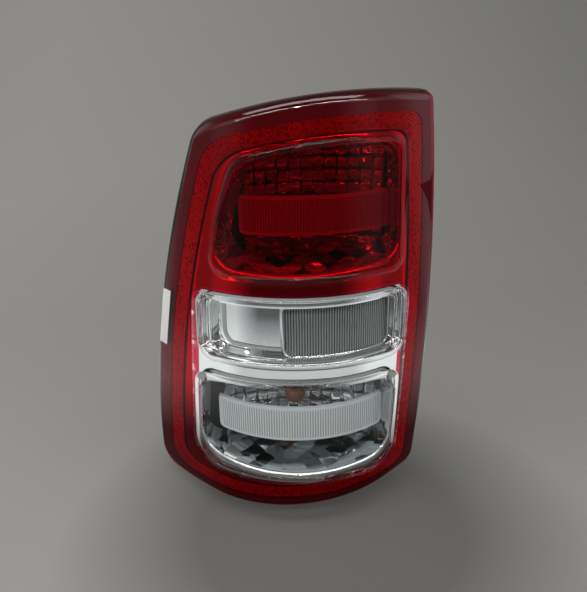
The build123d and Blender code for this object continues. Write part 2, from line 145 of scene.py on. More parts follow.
def solid(name, patches, finishes, sharp=35, closed=True):
    """One piece from patches of (points, faces, number of its finish), welded, with crisp sharp edges."""
    mesh = bpy.data.meshes.new(name)
    points, faces, numbers, count = [], [], [], 0
    for patch, cells, number in patches:
        patch = np.asarray(patch, float).reshape(-1, 3)
        points.append(patch)
        faces += [[count + int(i) for i in cell] for cell in cells]
        numbers += [number] * len(cells)
        count += len(patch)
    mesh.from_pydata(placed(np.concatenate(points)).tolist(), [], faces)
    mesh.polygons.foreach_set("material_index", numbers)
    work = bmesh.new()
    work.from_mesh(mesh)
    bmesh.ops.remove_doubles(work, verts=work.verts, dist=2e-6)
    if closed:
        bmesh.ops.recalc_face_normals(work, faces=work.faces)
    work.to_mesh(mesh)
    work.free()
    mesh.shade_smooth()
    mesh.set_sharp_from_angle(angle=math.radians(sharp))
    for finish in finishes:
        mesh.materials.append(finish)
    piece = bpy.data.objects.new(name, mesh)
    scene.collection.objects.link(piece)
    return piece


def stand_for(piece, node):
    """The piece rides with the lamp and takes a node's place, and the node is hidden."""
    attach(piece, "root")
    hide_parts(node)


def grid_cells(columns, rows):
    """Four-sided cells of a grid of points that is listed row by row."""
    cells = []
    for j in range(rows):
        for i in range(columns):
            corner = j * (columns + 1) + i
            cells.append((corner, corner + 1, corner + columns + 2, corner + columns + 1))
    return cells


def ladder(rings, finish=0):
    """Closed bands between rings of points that follow each other, in one of the piece's finishes."""
    rings = np.asarray(rings, float)
    count = rings.shape[1]
    cells = []
    for start in range(0, (len(rings) - 1) * count, count):
        for i in range(count):
            after = (i + 1) % count
            cells.append((start + i, start + after, start + count + after, start + count + i))
    return rings.reshape(-1, 3), cells, finish


def round_ring(axis, radius, along, steps):
    """Round ring of points about a bulb's axis, at a place along the die draw."""
    turn = np.linspace(0, 2 * math.pi, steps, endpoint=False)
    x, z = axis[0] + radius * np.cos(turn), axis[1] + radius * np.sin(turn)
    return np.stack([x, np.full(steps, along), z], -1)


def bowl_place(kind, x, z):
    """Where a bowl's paraboloid lies along the die draw."""
    _, vertex, focus, _, _ = bowls[kind]
    axis = bulb_axis[kind]
    return vertex - ((x - axis[0]) ** 2 + (z - axis[1]) ** 2) / (4 * focus)


def facets(kind, bulge, lean, hole):
    """Bowl of pillowed facets on a paraboloid, each leaning its own way, open round the bulb."""
    (left, right, low, high), _, _, columns, rows = bowls[kind]
    leans = np.random.default_rng(columns).uniform(-lean, lean, (rows, columns, 2))
    fine = 4
    edge = np.linspace(0, 1, fine + 1)
    u, v = np.meshgrid(edge, edge)
    hump = bulge * (1 - (2 * u - 1) ** 2) + bulge * (1 - (2 * v - 1) ** 2)
    points, cells = [], []
    for row in range(rows):
        for column in range(columns):
            x = left + (column + np.array([0, 1])) * (right - left) / columns
            z = low + (row + np.array([0, 1])) * (high - low) / rows
            foot, head = [(1 - u) * bowl_place(kind, x[0], c) + u * bowl_place(kind, x[1], c) for c in z]
            tip = leans[row, column] * [x[1] - x[0], z[1] - z[0]]
            y = (1 - v) * foot + v * head - hump + tip[0] * (u - 0.5) + tip[1] * (v - 0.5)
            grid = np.stack([x[0] + u * (x[1] - x[0]), y, z[0] + v * (z[1] - z[0])], -1).reshape(-1, 3)
            start = len(points)
            points += grid.tolist()
            for quad in grid_cells(fine, fine):
                middle = grid[list(quad)].mean(0)
                if math.dist(middle[[0, 2]], bulb_axis[kind]) > hole:
                    cells.append([start + i for i in quad])
    return points, cells, 0


def mirror_plate(name, rough, mottle_mm):
    """Vacuum-plated aluminium under lacquer: a mirror with a faint, slow waviness from the moulding."""
    material, tree = finish_named(name)
    place = add(tree, "ShaderNodeTexCoord").outputs["Object"]
    wave = add(tree, "ShaderNodeTexNoise", {"Vector": place, "Scale": 1000 / mottle_mm, "Detail": 1.0})
    bump = add(tree, "ShaderNodeBump", {"Height": wave, "Distance": 0.0004, "Strength": 0.12})
    haze = add(tree, "ShaderNodeMapRange", {"Value": wave, "To Min": rough * 0.6, "To Max": rough * 1.5})
    shader = add(tree, "ShaderNodeBsdfPrincipled", {"Base Color": linear("#eceeee"), "Metallic": 1.0,
                                                    "Roughness": haze, "Normal": bump})
    add(tree, "ShaderNodeOutputMaterial", {"Surface": shader})
    return material


# Vacuum plating on the bowls: bright, with each facet holding its own small picture of the room
plated_bowl = mirror_plate("vacuum_plated_bowl", rough=0.08, mottle_mm=9.0)
collar_radius, collar_foot, bowl_wall = 20, -32.8, 2.0
bulb_axis = {"stop": (14, 108), "reverse": (42, -16), "turn": (-4, -118)}
# Each bowl's span, the vertex and focus of its paraboloid, and its facets across and up
bowls = {"stop": ((-58, 95, 57, 171), -54, 100, 12, 8), "reverse": ((-20, 92, -49, 17), -58, 34, 9, 5),
         "turn": ((-90, 92, -184, -70), -54, 120, 14, 8)}
for kind, (_, vertex, _, _, _) in bowls.items():
    collar = [round_ring(bulb_axis[kind], collar_radius, along, 48) for along in (vertex + 1, collar_foot)]
    patches = [facets(kind, bulge=0.35, lean=0.26, hole=10), ladder(collar)]
    bowl = solid(f"{kind}_bowl", patches, [plated_bowl], sharp=14, closed=False)
    wall = bowl.modifiers.new("wall", "SOLIDIFY")
    wall.thickness = bowl_wall / 1000
    wall.offset = -1
    stand_for(bowl, f"{kind}_reflector")


# Bulbs: blown glass envelopes with a round tip, drawn in to a neck that grips the wedge base.
# The stop and reverse bulbs are clear, and the turn bulb is dipped amber.
def gloss_share(tree, least):
    """Share of light that a clear surface mirrors, rising towards grazing angles."""
    facing = add(tree, "ShaderNodeLayerWeight", {"Blend": 0.5}).outputs["Facing"]
    steep = add(tree, "ShaderNodeMath", {0: facing, 1: 5.0}, operation="POWER")
    return add(tree, "ShaderNodeMapRange", {"Value": steep, "To Min": least, "To Max": 0.7})


def see_through(name, tint, milk=0.0, tones=("#ffffff", "#ffffff"), through=0.5, rough=0.02, least=0.04):
    """Clear moulding: tinted light passes straight on, the surface mirrors, and some of it is milky, with
    painted shade in the flutes' grooves where its two tones differ.
    """
    material, tree = finish_named(name)
    body = add(tree, "ShaderNodeBsdfTransparent", {"Color": linear(tint)})
    if milk:
        # Painted shade: the first tone goes in the flutes' grooves and the second on their crests
        painted_groove_shade = add(tree, "ShaderNodeAttribute", attribute_name="painted_groove_shade").outputs["Fac"]
        tone = add(tree, "ShaderNodeMix", {"Factor": painted_groove_shade, "A": linear(tones[0]), "B": linear(tones[1])},
                   data_type="RGBA")
        cloud = add(tree, "ShaderNodeBsdfDiffuse", {"Color": tone})
        glow = add(tree, "ShaderNodeBsdfTranslucent", {"Color": tone})
        veil = add(tree, "ShaderNodeMixShader", {0: through, 1: cloud, 2: glow})
        body = add(tree, "ShaderNodeMixShader", {0: milk, 1: body, 2: veil})
    mirror = add(tree, "ShaderNodeBsdfGlossy", {"Color": (1, 1, 1, 1), "Roughness": rough})
    whole = add(tree, "ShaderNodeMixShader", {0: gloss_share(tree, least), 1: body, 2: mirror})
    add(tree, "ShaderNodeOutputMaterial", {"Surface": whole})
    return material


# Soda-lime glass: almost unseen but for its bright rims
bulb_glass = see_through("soda_lime_glass", "#f4f6f5")
# Amber-dipped glass: a warm brown-orange that deepens at the rim
amber_glass = see_through("amber_dipped_glass", "#e0a070", milk=0.4, tones=("#c98a60", "#c98a60"))
glass_foot, glass_neck, glass_radius, glass_length = -56.0, 8.0, 12.5, 36.0
shoulder = glass_length - glass_radius
rise = np.linspace(0, 1, 9)
throat = glass_neck + (glass_radius - glass_neck) * (3 * rise ** 2 - 2 * rise ** 3)
tip = np.linspace(0, math.pi / 2, 10)[1:]
radii = np.concatenate([[0.01], throat, glass_radius * np.cos(tip)])
heights = np.concatenate([[0], rise * shoulder, shoulder + glass_radius * np.sin(tip)])
for kind, axis in bulb_axis.items():
    rings = [round_ring(axis, radius, glass_foot - height, 32) for radius, height in zip(radii, heights)]
    slot, finish = ("amber_glass", amber_glass) if kind == "turn" else ("bulb_glass", bulb_glass)
    glass = solid(f"{kind}_envelope", [ladder(rings)], [finish])
    stand_for(glass, f"{kind}_bulb_glass")


# Bezel: the plated plate behind the lens, with a deep well behind the stop and turn windows and a
# stepped frame for the reverse panel. It is moulded in one, vacuum plated, and screwed to the housing.
corner_radius, flank_radius, crown_radius, corner_turn = 165.0, 600.0, 2000.0, math.radians(40)
flank_aside = (corner_radius - flank_radius) * math.sin(corner_turn)
flank_back = (flank_radius - corner_radius) * math.cos(corner_turn)
well_draft, skin_spacing = math.radians(15), 6.0


def lens_point(flat, depth):
    """Points at a depth behind the lens skin, from their places in the die-draw view."""
    x, z = flat[:, 0], flat[:, 1]
    fall = crown_radius - np.sqrt((crown_radius - depth) ** 2 - z ** 2)
    radius = corner_radius - fall
    corner = -np.sqrt(np.maximum(radius ** 2 - x ** 2, 1))
    painted_front_shade = flank_back - np.sqrt((flank_radius - fall) ** 2 - (x - np.sign(x) * flank_aside) ** 2)
    return np.stack([x, np.where(np.abs(x) > radius * math.sin(corner_turn), painted_front_shade, corner), z], -1)


def depth_of(points):
    """Depth of points behind the lens skin."""
    x, y, z = points.T
    on_flank = np.abs(np.arctan2(x, -y)) > corner_turn
    painted_front_shade = flank_radius - np.hypot(x - np.sign(x) * flank_aside, y - flank_back)
    fall = np.where(on_flank, painted_front_shade, corner_radius - np.hypot(x, y))
    return crown_radius - np.sqrt((crown_radius - fall) ** 2 + z ** 2)


def trimmed(flat, depth, limit):
    """Points behind the lens skin, drawn in step by step where they would pass the inboard face."""
    flat, skin_slope = flat.copy(), 1.3
    for _ in range(8):
        inboard = placed(lens_point(flat, depth))[:, 0] * 1000 + limit
        flat[:, 0] -= np.maximum(inboard, 0) / skin_slope
    return lens_point(flat, depth)


def outline(shape, spacing=3.0, count=None):
    """Closed outline in the die-draw view: bowed sides and rounded corners, as evenly spaced points."""
    corners, bows = shape
    sides, path = [], []
    t = np.linspace(0, 1, 400)[:, None]
    for (x0, z0, _), (x1, z1, _), bow in zip(corners, corners[1:] + corners[:1], bows):
        start, run = np.array([x0, z0]), np.array([x1 - x0, z1 - z0])
        outward = np.array([run[1], -run[0]]) / np.hypot(*run)
        sides.append(start + run * t + outward * 4 * bow * t * (1 - t))
    ends = []
    for number, (_, _, rounding) in enumerate(corners):
        into, away = sides[number - 1], sides[number]
        u = (into[-1] - into[-2]) / np.hypot(*(into[-1] - into[-2]))
        v = (away[1] - away[0]) / np.hypot(*(away[1] - away[0]))
        turn = math.acos(np.clip(u @ v, -1, 1))
        cut = rounding * math.tan(turn / 2)
        first = np.argmin(np.abs(np.hypot(*(into - into[-1]).T) - cut))
        last = np.argmin(np.abs(np.hypot(*(away - away[0]).T) - cut))
        ends.append((first, last, u, v, 4 / 3 * math.tan(turn / 4) * rounding))
    s = np.linspace(0, 1, 40)[:, None]
    for number, (first, last, u, v, reach) in enumerate(ends):
        a, d = sides[number - 1][first], sides[number][last]
        b, c = a + u * reach, d - v * reach
        path.append((1 - s) ** 3 * a + 3 * s * (1 - s) ** 2 * b + 3 * s ** 2 * (1 - s) * c + s ** 3 * d)
        path.append(sides[number][last + 1:ends[(number + 1) % len(corners)][0]])
    path = np.concatenate(path)
    loop = np.concatenate([path, path[:1]])
    length = np.concatenate([[0], np.cumsum(np.hypot(*np.diff(loop, axis=0).T))])
    at = np.linspace(0, length[-1], count or round(length[-1] / spacing), endpoint=False)
    return np.stack([np.interp(at, length, loop[:, 0]), np.interp(at, length, loop[:, 1])], -1)


def inward(loop):
    """Unit normals of a closed outline, pointing in."""
    run = np.roll(loop, -1, 0) - np.roll(loop, 1, 0)
    run /= np.hypot(*run.T)[:, None]
    return np.stack([-run[:, 1], run[:, 0]], -1)


def inset(loop, distance):
    """Outline moved in by a distance."""
    return loop + inward(loop) * distance


def shrunk(shape, distance):
    """Outline's shape with its sides moved in and its roundings kept."""
    corners, bows = shape
    spots = np.array([corner[:2] for corner in corners], float)
    runs = np.roll(spots, -1, 0) - spots
    runs /= np.hypot(*runs.T)[:, None]
    sides = spots + distance * np.stack([-runs[:, 1], runs[:, 0]], -1)
    moved = []
    for number, (_, _, rounding) in enumerate(corners):
        into, away = runs[number - 1], runs[number]
        share = np.cross(away, sides[number] - sides[number - 1]) / np.cross(away, into)
        moved.append((*(sides[number - 1] + share * into), rounding))
    return moved, bows


def within(points, loop):
    """Whether each point lies inside a closed outline."""
    x, z = points[:, :1], points[:, 1:]
    a, b = loop, np.roll(loop, -1, 0)
    crossing = (a[:, 1] > z) != (b[:, 1] > z)
    rise = np.where(b[:, 1] == a[:, 1], 1e-9, b[:, 1] - a[:, 1])
    at = (b[:, 0] - a[:, 0]) * (z - a[:, 1]) / rise + a[:, 0]
    return (crossing & (x < at)).sum(1) % 2 == 1


def sheet(outer, holes, depth, finish=0, limit=0.0):
    """Triangles at one depth behind the lens skin, between an outline and some holes, in one finish."""
    def kept(spots):
        return within(spots, outer) & ~np.any([within(spots, hole) for hole in holes], axis=0)

    low, high = outer.min(0), outer.max(0)
    lines = [np.arange(start, stop, skin_spacing) for start, stop in zip(low, high)]
    grid = np.stack(np.meshgrid(*lines), -1).reshape(-1, 2)
    loops = [outer, *holes]
    near = kdtree.KDTree(sum(len(loop) for loop in loops))
    points, links = [], []
    for loop in loops:
        start = len(points)
        for i, point in enumerate(loop):
            near.insert((*point, 0), start + i)
            links.append((start + i, start + (i + 1) % len(loop)))
        points += loop.tolist()
    near.balance()
    for point in grid[kept(grid)]:
        if near.find((*point, 0))[2] > 0.7 * skin_spacing:
            points.append(point.tolist())
    made = delaunay_2d_cdt([Vector(point) for point in points], links, [], 0, 1e-5)
    flat = np.array([tuple(point) for point in made[0]])
    faces = np.array([list(face) for face in made[2]])
    return trimmed(flat, depth, limit), faces[kept(flat[faces].mean(1))].tolist(), finish


def rounded(a, corner, b):
    """Rings that round the edge between two others."""
    return [(1 - s) ** 2 * a + 2 * s * (1 - s) * corner + s ** 2 * b for s in np.linspace(0, 1, 5)]


def well_wall(loop, draw):
    """Ring of a well's wall, which closes in by its draft as it goes back."""
    flat = loop + inward(loop) * (draw * math.tan(well_draft))[:, None]
    return np.stack([flat[:, 0], draw - corner_radius, flat[:, 1]], -1)


def well_edge(loop, depth):
    """How far along the die draw a drafted well meets a depth behind the lens skin, at each point."""
    near, far = np.zeros(len(loop)), np.full(len(loop), 160.0)
    for _ in range(40):
        middle = (near + far) / 2
        deep = depth_of(well_wall(loop, middle)) > depth
        near, far = np.where(deep, near, middle), np.where(deep, middle, far)
    return near


# Outlines: corners as (across, up, rounding) from the lower right round, and how far the sides bow out
lamp_edge = ([(137, -207, 12), (145, 222, 12), (-97, 197, 36), (-177, -232, 20)], [7, 14, 18, 6])
band_edge = ([(124, -202, 14), (129, 204, 16), (-88, 181, 45), (-160, -222, 22)], [7, 10, 14, 3])
clear_edge = ([(112, -192, 34), (121, 32, 17), (-111, 32, 17), (-126, -192, 36)], [0, 0, 0, 2])
reverse_window = ([(116, -48, 18), (117, 28, 14), (-106, 28, 14), (-108, -47, 18)], [0, 0, 0, 0])
stop_well = ([(118, 51, 28), (118, 186, 30), (-64, 170, 36), (-96, 50, 30)], [0, 8, 5, 0])
turn_well = ([(116, -185, 36), (119, -68, 28), (-122, -68, 28), (-131, -184, 38)], [0, 0, 0, 2])
panel_edge = ([(104, -42, 10), (105, 15, 6), (-92, 15, 6), (-94, -42, 10)], [0, 0, 0, 0])
panel_opening = ([(98, -40.5, 8), (98, 13.5, 4), (-14, 13.5, 4), (-14, -40.5, 11)], [0, 0, 0, 0])
plate_deep, land_deep, panel_deep, well_reach, lip_width = 12.0, 5.0, 22.0, 81.0, 2.0
patches, openings = [], []
for shape in (stop_well, turn_well):
    loop = outline(shape, 2.5)
    draw = well_edge(loop, land_deep)
    edge = well_wall(loop, draw)
    lip = edge[:, [0, 2]] - inward(loop) * lip_width
    wall = [well_wall(loop, draw + step * (well_reach - draw)) for step in (0.08, 0.3, 0.55, 0.8, 1.0)]
    patches.append(ladder(rounded(lens_point(lip, land_deep), edge, wall[0]), finish=1))
    patches.append(ladder(wall, finish=2))
    openings.append(lip)
# Steps of the plate, of the frame round the reverse panel and of its opening's rim, as (inset, depth)
land_steps = [(1, plate_deep), (16.2, plate_deep), (16.4, 10), (16.4, 7), (16.6, 5.6), (17.4, land_deep)]
frame_steps = [(0.4, 5), (2, 5), (2, 7), (2, 8.2), (2.5, 9), (4, 9), (5, 9.2), (5, 10.5), (5, 12), (5.6, 13)]
panel_steps = [(-1.5, 13), (-0.4, 13.3), (0, 14.5), (0, 17.5), (0, 20.5), (0, panel_deep)]
rim_steps = [(-4.2, panel_deep), (-3.4, 21.4), (-2.9, 20), (-2.3, 19.2), (-1.5, 19), (-0.7, 19.2),
             (-0.1, 20), (0, 21.4), (0, 24)]
plate_loops = [outline(shrunk(band_edge, distance), count=500) for distance, _ in land_steps]
plate_rings = [trimmed(loop, deep, limit=4.0) for loop, (_, deep) in zip(plate_loops, land_steps)]
patches.append(ladder(plate_rings))
window = outline(reverse_window, count=260)
panel = outline(panel_edge, count=260)
frame_rings = [lens_point(inset(window, distance), deep) for distance, deep in frame_steps]
frame_foot, panel_lip = inset(window, frame_steps[-1][0]), inset(panel, panel_steps[0][0])
for share, deep in ((0.35, 13), (0.5, 12.2), (0.65, 13)):
    frame_rings.append(lens_point((1 - share) * frame_foot + share * panel_lip, deep))
frame_rings += [lens_point(inset(panel, distance), deep) for distance, deep in panel_steps]
patches.append(ladder(frame_rings))
openings.append(inset(window, frame_steps[0][0]))
patches.append(sheet(plate_loops[-1], openings, land_deep))
opening = outline(panel_opening, 2.0)
patches.append(ladder([lens_point(inset(opening, distance), deep) for distance, deep in rim_steps]))
patches.append(sheet(panel, [inset(opening, -1.0)], panel_deep))
# Vacuum plating on the bezel: a clean mirror that shows the room in long soft streaks
plated_bezel = mirror_plate("vacuum_plated_bezel", rough=0.05, mottle_mm=30.0)
# The same plating on the wells' lips, a little satin
plated_lip = mirror_plate("vacuum_plated_satin", rough=0.2, mottle_mm=30.0)
# The same plating on the wells' walls, a shade darker as painted shade in the wells, broken into small flats
# that each mirror another spot
plated_flats_painted_shade, tree = finish_named("vacuum_plated_flats")
flat_mm, flat_lean, wall_lean = 17, 0.26, (-0.07, -0.07, 0)
place = add(tree, "ShaderNodeTexCoord").outputs["Object"]
cells = add(tree, "ShaderNodeTexVoronoi", {"Vector": place, "Scale": 1000 / flat_mm, "Randomness": 0.35},
            distance="CHEBYCHEV").outputs["Color"]
lean = add(tree, "ShaderNodeVectorMath", {0: cells, 1: (0.5, 0.5, 0.5)}, operation="SUBTRACT")
lean = add(tree, "ShaderNodeVectorMath", {0: lean, "Scale": flat_lean}, operation="SCALE")
lean = add(tree, "ShaderNodeVectorMath", {0: lean, 1: wall_lean}, operation="ADD")
flat_way = add(tree, "ShaderNodeNewGeometry").outputs["Normal"]
flat_way = add(tree, "ShaderNodeVectorMath", {0: flat_way, 1: lean}, operation="ADD")
flat_way = add(tree, "ShaderNodeVectorMath", {0: flat_way}, operation="NORMALIZE")
# Painted shade: a darker base than the rest of the plating
flats = add(tree, "ShaderNodeBsdfPrincipled", {"Base Color": linear("#d8dcdc"), "Metallic": 1.0,
                                               "Roughness": 0.1, "Normal": flat_way})
add(tree, "ShaderNodeOutputMaterial", {"Surface": flats})
bezel = solid("plated_bezel", patches, [plated_bezel, plated_lip, plated_flats_painted_shade], sharp=40)
stand_for(bezel, "bezel")


# Inner lenses: clear acrylic with upright flutes that spread the light. The stop and turn bars stand
# on two legs on their reflectors, and the reverse lens is clipped behind the panel's opening.
def laying_tree():
    """Geometry Nodes that lay one unit on every point, upright and turned to face out of the lamp."""
    tree = bpy.data.node_groups.new("laid_units", "GeometryNodeTree")
    for label, kind in (("Geometry", "Geometry"), ("Unit", "Object"), ("Finish", "Material"),
                        ("Width", "Float"), ("Rise", "Float")):
        tree.interface.new_socket(label, in_out="INPUT", socket_type=f"NodeSocket{kind}")
    tree.interface.new_socket("Geometry", in_out="OUTPUT", socket_type="NodeSocketGeometry")
    given = add(tree, "NodeGroupInput").outputs
    out = add(tree, "GeometryNodeInputNamedAttribute", {"Name": "out"}, data_type="FLOAT_VECTOR")
    tall = add(tree, "GeometryNodeInputNamedAttribute", {"Name": "tall"}, data_type="FLOAT")
    turned = add(tree, "FunctionNodeAlignRotationToVector", {"Vector": out}, axis="Y", pivot_axis="Z")
    size = add(tree, "ShaderNodeCombineXYZ", {0: given["Width"], 1: given["Rise"], 2: tall})
    unit = add(tree, "GeometryNodeObjectInfo", {"Object": given["Unit"]}).outputs["Geometry"]
    laid = add(tree, "GeometryNodeInstanceOnPoints", {"Points": given["Geometry"], "Instance": unit,
                                                      "Rotation": turned, "Scale": size})
    real = add(tree, "GeometryNodeRealizeInstances", {"Geometry": laid})
    dressed = add(tree, "GeometryNodeSetMaterial", {"Geometry": real, "Material": given["Finish"]})
    add(tree, "NodeGroupOutput", {"Geometry": dressed})
    return tree


def lay(name, unit, spots, outs, talls, width, rise, material):
    """Runs the laying tree on some spots of the moulding frame, and gives a plain mesh."""
    mesh = bpy.data.meshes.new(name)
    mesh.from_pydata(placed(spots).tolist(), [], [])
    ways = (outs @ vehicle_turn).ravel()
    mesh.attributes.new("out", "FLOAT_VECTOR", "POINT").data.foreach_set("vector", ways)
    shades = np.random.default_rng(len(spots)).uniform(0, 1, len(spots))
    for label, values in (("tall", talls / 1000), ("shade", shades)):
        mesh.attributes.new(label, "FLOAT", "POINT").data.foreach_set("value", values)
    piece = bpy.data.objects.new(name, mesh)
    scene.collection.objects.link(piece)
    laying = piece.modifiers.new("laying", "NODES")
    laying.node_group = laid_units
    given = {"Unit": unit, "Finish": material, "Width": width / 1000, "Rise": rise / 1000}
    for item in laid_units.interface.items_tree:
        if item.in_out == "INPUT" and item.name in given:
            laying[item.identifier] = given[item.name]
    real = piece.evaluated_get(bpy.context.evaluated_depsgraph_get())
    plain = bpy.data.meshes.new_from_object(real)
    bpy.data.objects.remove(piece)
    bpy.data.objects.remove(unit)
    return plain


def unit_of(name, points, faces, smooth=True):
    """Small object that the laying tree repeats."""
    mesh = bpy.data.meshes.new(name)
    mesh.from_pydata(points, [], faces)
    mesh.polygons.foreach_set("use_smooth", [smooth] * len(faces))
    unit = bpy.data.objects.new(name, mesh)
    scene.collection.objects.link(unit)
    return unit


def join(piece, mesh, number):
    """Adds a plain mesh to a piece, in one of the piece's finishes."""
    mesh.polygons.foreach_set("material_index", [number] * len(mesh.polygons))
    for label in ("shade", "painted_groove_shade"):
        if label not in piece.data.attributes:
            piece.data.attributes.new(label, "FLOAT", "POINT")
    whole = bmesh.new()
    whole.from_mesh(piece.data)
    whole.from_mesh(mesh)
    whole.to_mesh(piece.data)
    whole.free()


def fluted_bar(name, span, deep, sag, rounding, border, finishes):
    """Curved bar with rounded ends and a field of upright flutes inside a plain border."""
    left, right, low, high = span
    radius = corner_radius - deep - flute_rise
    corners = [(x, z, rounding) for x, z in ((right, low), (right, high), (left, high), (left, low))]
    loop = outline((corners, [0] * 4), 2.0)

    def arc_point(flat, r):
        return np.stack([flat[:, 0], sag - np.sqrt(r ** 2 - flat[:, 0] ** 2), flat[:, 1]], -1)

    grid, cells, _ = sheet(loop, [], 0.0)
    faces = (radius, radius - bar_wall)
    patches = [(arc_point(grid[:, [0, 2]], r), cells, 0) for r in faces]
    patches.append(ladder([arc_point(loop, r) for r in faces]))
    bar = solid(name, patches, finishes)
    start, stop = math.asin((left + border) / radius), math.asin((right - border) / radius)
    count = round((stop - start) * radius / flute_pitch)
    angle = start + (np.arange(count) + 0.5) * (stop - start) / count
    outs = np.stack([np.sin(angle), -np.cos(angle), np.zeros(count)], -1)
    spots = radius * outs + [0, sag, (low + high) / 2]
    short = np.maximum(rounding - np.minimum(spots[:, 0] - left, right - spots[:, 0]), 0)
    talls = high - low - 2 * border - 2 * (rounding - np.sqrt(np.maximum(rounding ** 2 - short ** 2, 0)))
    across = np.linspace(-0.5, 0.5, 9)
    points = [(x, 1 - 4 * x * x, z) for z in (-0.5, 0.5) for x in across]
    # Painted shade on each flute: nought in the groove, rising to one on the crest
    painted_groove_shades = [max(y, 0) ** 2 for _, y, _ in points]
    flute = unit_of("flute", points, [(i + 1, i, i + len(across), i + len(across) + 1) for i in range(8)])
    flute.data.attributes.new("painted_groove_shade", "FLOAT", "POINT").data.foreach_set("value", painted_groove_shades)
    pitch = (stop - start) * radius / count
    join(bar, lay("flutes", flute, spots, outs, talls, pitch, flute_rise, finishes[1]), 1)
    return bar


def leg(kind, span, sag, end):
    """End leg of a bar, from inside the bar's wall down to its reflector."""
    _, _, low, high = span
    front = sag - math.sqrt((corner_radius - bar_deep - leg_grip) ** 2 - end ** 2)
    left, right = end - leg_width / 2, end + leg_width / 2
    rings = []
    for level in np.linspace(low + 1, high - 1, 9):
        foot = max(bowl_place(kind, end, level) - foot_clearance, front + 1)
        corners = (left, front), (right, front), (right, foot), (left, foot)
        rings.append([(x, y, level) for x, y in corners])
    points, cells, finish = ladder(rings)
    last = len(points) - 1
    return points, cells + [(0, 1, 2, 3), (last, last - 1, last - 2, last - 3)], finish


def sag_at(up):
    """How far the crowned skin falls back at a height."""
    return crown_radius - math.sqrt(crown_radius ** 2 - up ** 2)


# Frosted acrylic: milky, with a soft wet shine, and a painted shade line in each groove between flutes
frosted = see_through("frosted_acrylic", "#f2f5f5", milk=0.8, tones=("#f4f5fa", "#f4f5fa"), through=0.2,
                      rough=0.15)
frosted_flutes = see_through("frosted_acrylic_flutes", "#e6ecec", milk=0.85, tones=("#a0a8a8", "#ffffff"),
                             through=0.2, rough=0.1)
# Half-frosted acrylic: the same moulding left clearer, for the stop bar, with painted shade in its flutes'
# grooves
hazy = see_through("half_frosted_acrylic", "#e8ecec", milk=0.45, tones=("#e0e4e4", "#e0e4e4"), through=0.3,
                   rough=0.15)
hazy_flutes = see_through("half_frosted_acrylic_flutes", "#dde2e2", milk=0.45, tones=("#707676", "#d8dcdc"),
                          through=0.3, rough=0.1)
# Clear acrylic: glassy flutes drawn as fine stripes, with painted shade dark in each groove and pale on each
# crest
clear = see_through("clear_acrylic", "#b4baba", milk=0.12, tones=("#9aa0a0", "#9aa0a0"), rough=0.1,
                    least=0.1)
clear_flutes = see_through("clear_acrylic_flutes", "#8f9595", milk=0.6, tones=("#181b1b", "#c4cccc"),
                           through=0.2, rough=0.08)
laid_units = laying_tree()
bar_deep, bar_wall, flute_rise, flute_pitch = 28, 4.45, 0.55, 2.9
leg_width, leg_inset, leg_grip, foot_clearance = 3, 8, 3, 0.8
bars = {"stop": ((-58, 97, 87, 127), hazy, hazy_flutes),
        "turn": ((-93, 97, -151, -110), frosted, frosted_flutes)}
for kind, (span, *finishes) in bars.items():
    sag = sag_at((span[2] + span[3]) / 2)
    bar = fluted_bar(f"{kind}_bar", span, bar_deep, sag, rounding=5, border=3.5, finishes=finishes)
    for end in (span[0] + leg_inset, span[1] - leg_inset):
        post = solid("post", [leg(kind, span, sag, end)], finishes[:1])
        join(bar, post.data, 0)
        bpy.data.objects.remove(post)
    stand_for(bar, f"{kind}_inner_lens")
reverse_span, reverse_deep = (-19, 103, -45.5, 18.5), 24.2
reverse_bar = fluted_bar("reverse_lens", reverse_span, reverse_deep, sag_at(reverse_span[2]), rounding=1,
                         border=0.5, finishes=(clear, clear_flutes))
stand_for(reverse_bar, "reverse_inner_lens")


# Reflex band: a strip of corner-cube prisms all round the lamp, moulded in red acrylic.
# It lies just behind the red lens and sends light straight back; its sparkle is painted glints in the
# prisms' colour.
def vehicle_way(direction):
    """Direction of the moulding frame, turned into the vehicle's frame."""
    return Vector(np.asarray(direction, float) @ vehicle_turn)


# Red acrylic prisms: tones that differ at random, with painted glints that turn some prisms white, and
# painted shade that dims the band where it turns to the front
red_prisms, tree = finish_named("red_acrylic_prisms")
shade = add(tree, "ShaderNodeAttribute", attribute_name="shade").outputs["Fac"]
# Painted glints: the ramp's top end is white, so some prisms flash
painted_glints = add(tree, "ShaderNodeValToRGB", {"Fac": shade})
for share, code in ((0.35, "#f46c7a"), (0.72, "#ff90a0"), (0.8, "#ffffff")):
    painted_glints.color_ramp.elements.new(share).color = linear(code)
painted_glints.color_ramp.elements[0].color = linear("#a03e4e")
place = add(tree, "ShaderNodeTexCoord").outputs["Object"]
from_axis = add(tree, "ShaderNodeVectorMath", {0: place, 1: placed((0, 0, 0))}, operation="SUBTRACT")
side = add(tree, "ShaderNodeVectorMath", {0: from_axis, 1: vehicle_way((1, 0, 0))}, operation="DOT_PRODUCT")
side = add(tree, "ShaderNodeMath", {0: side}, operation="ABSOLUTE")
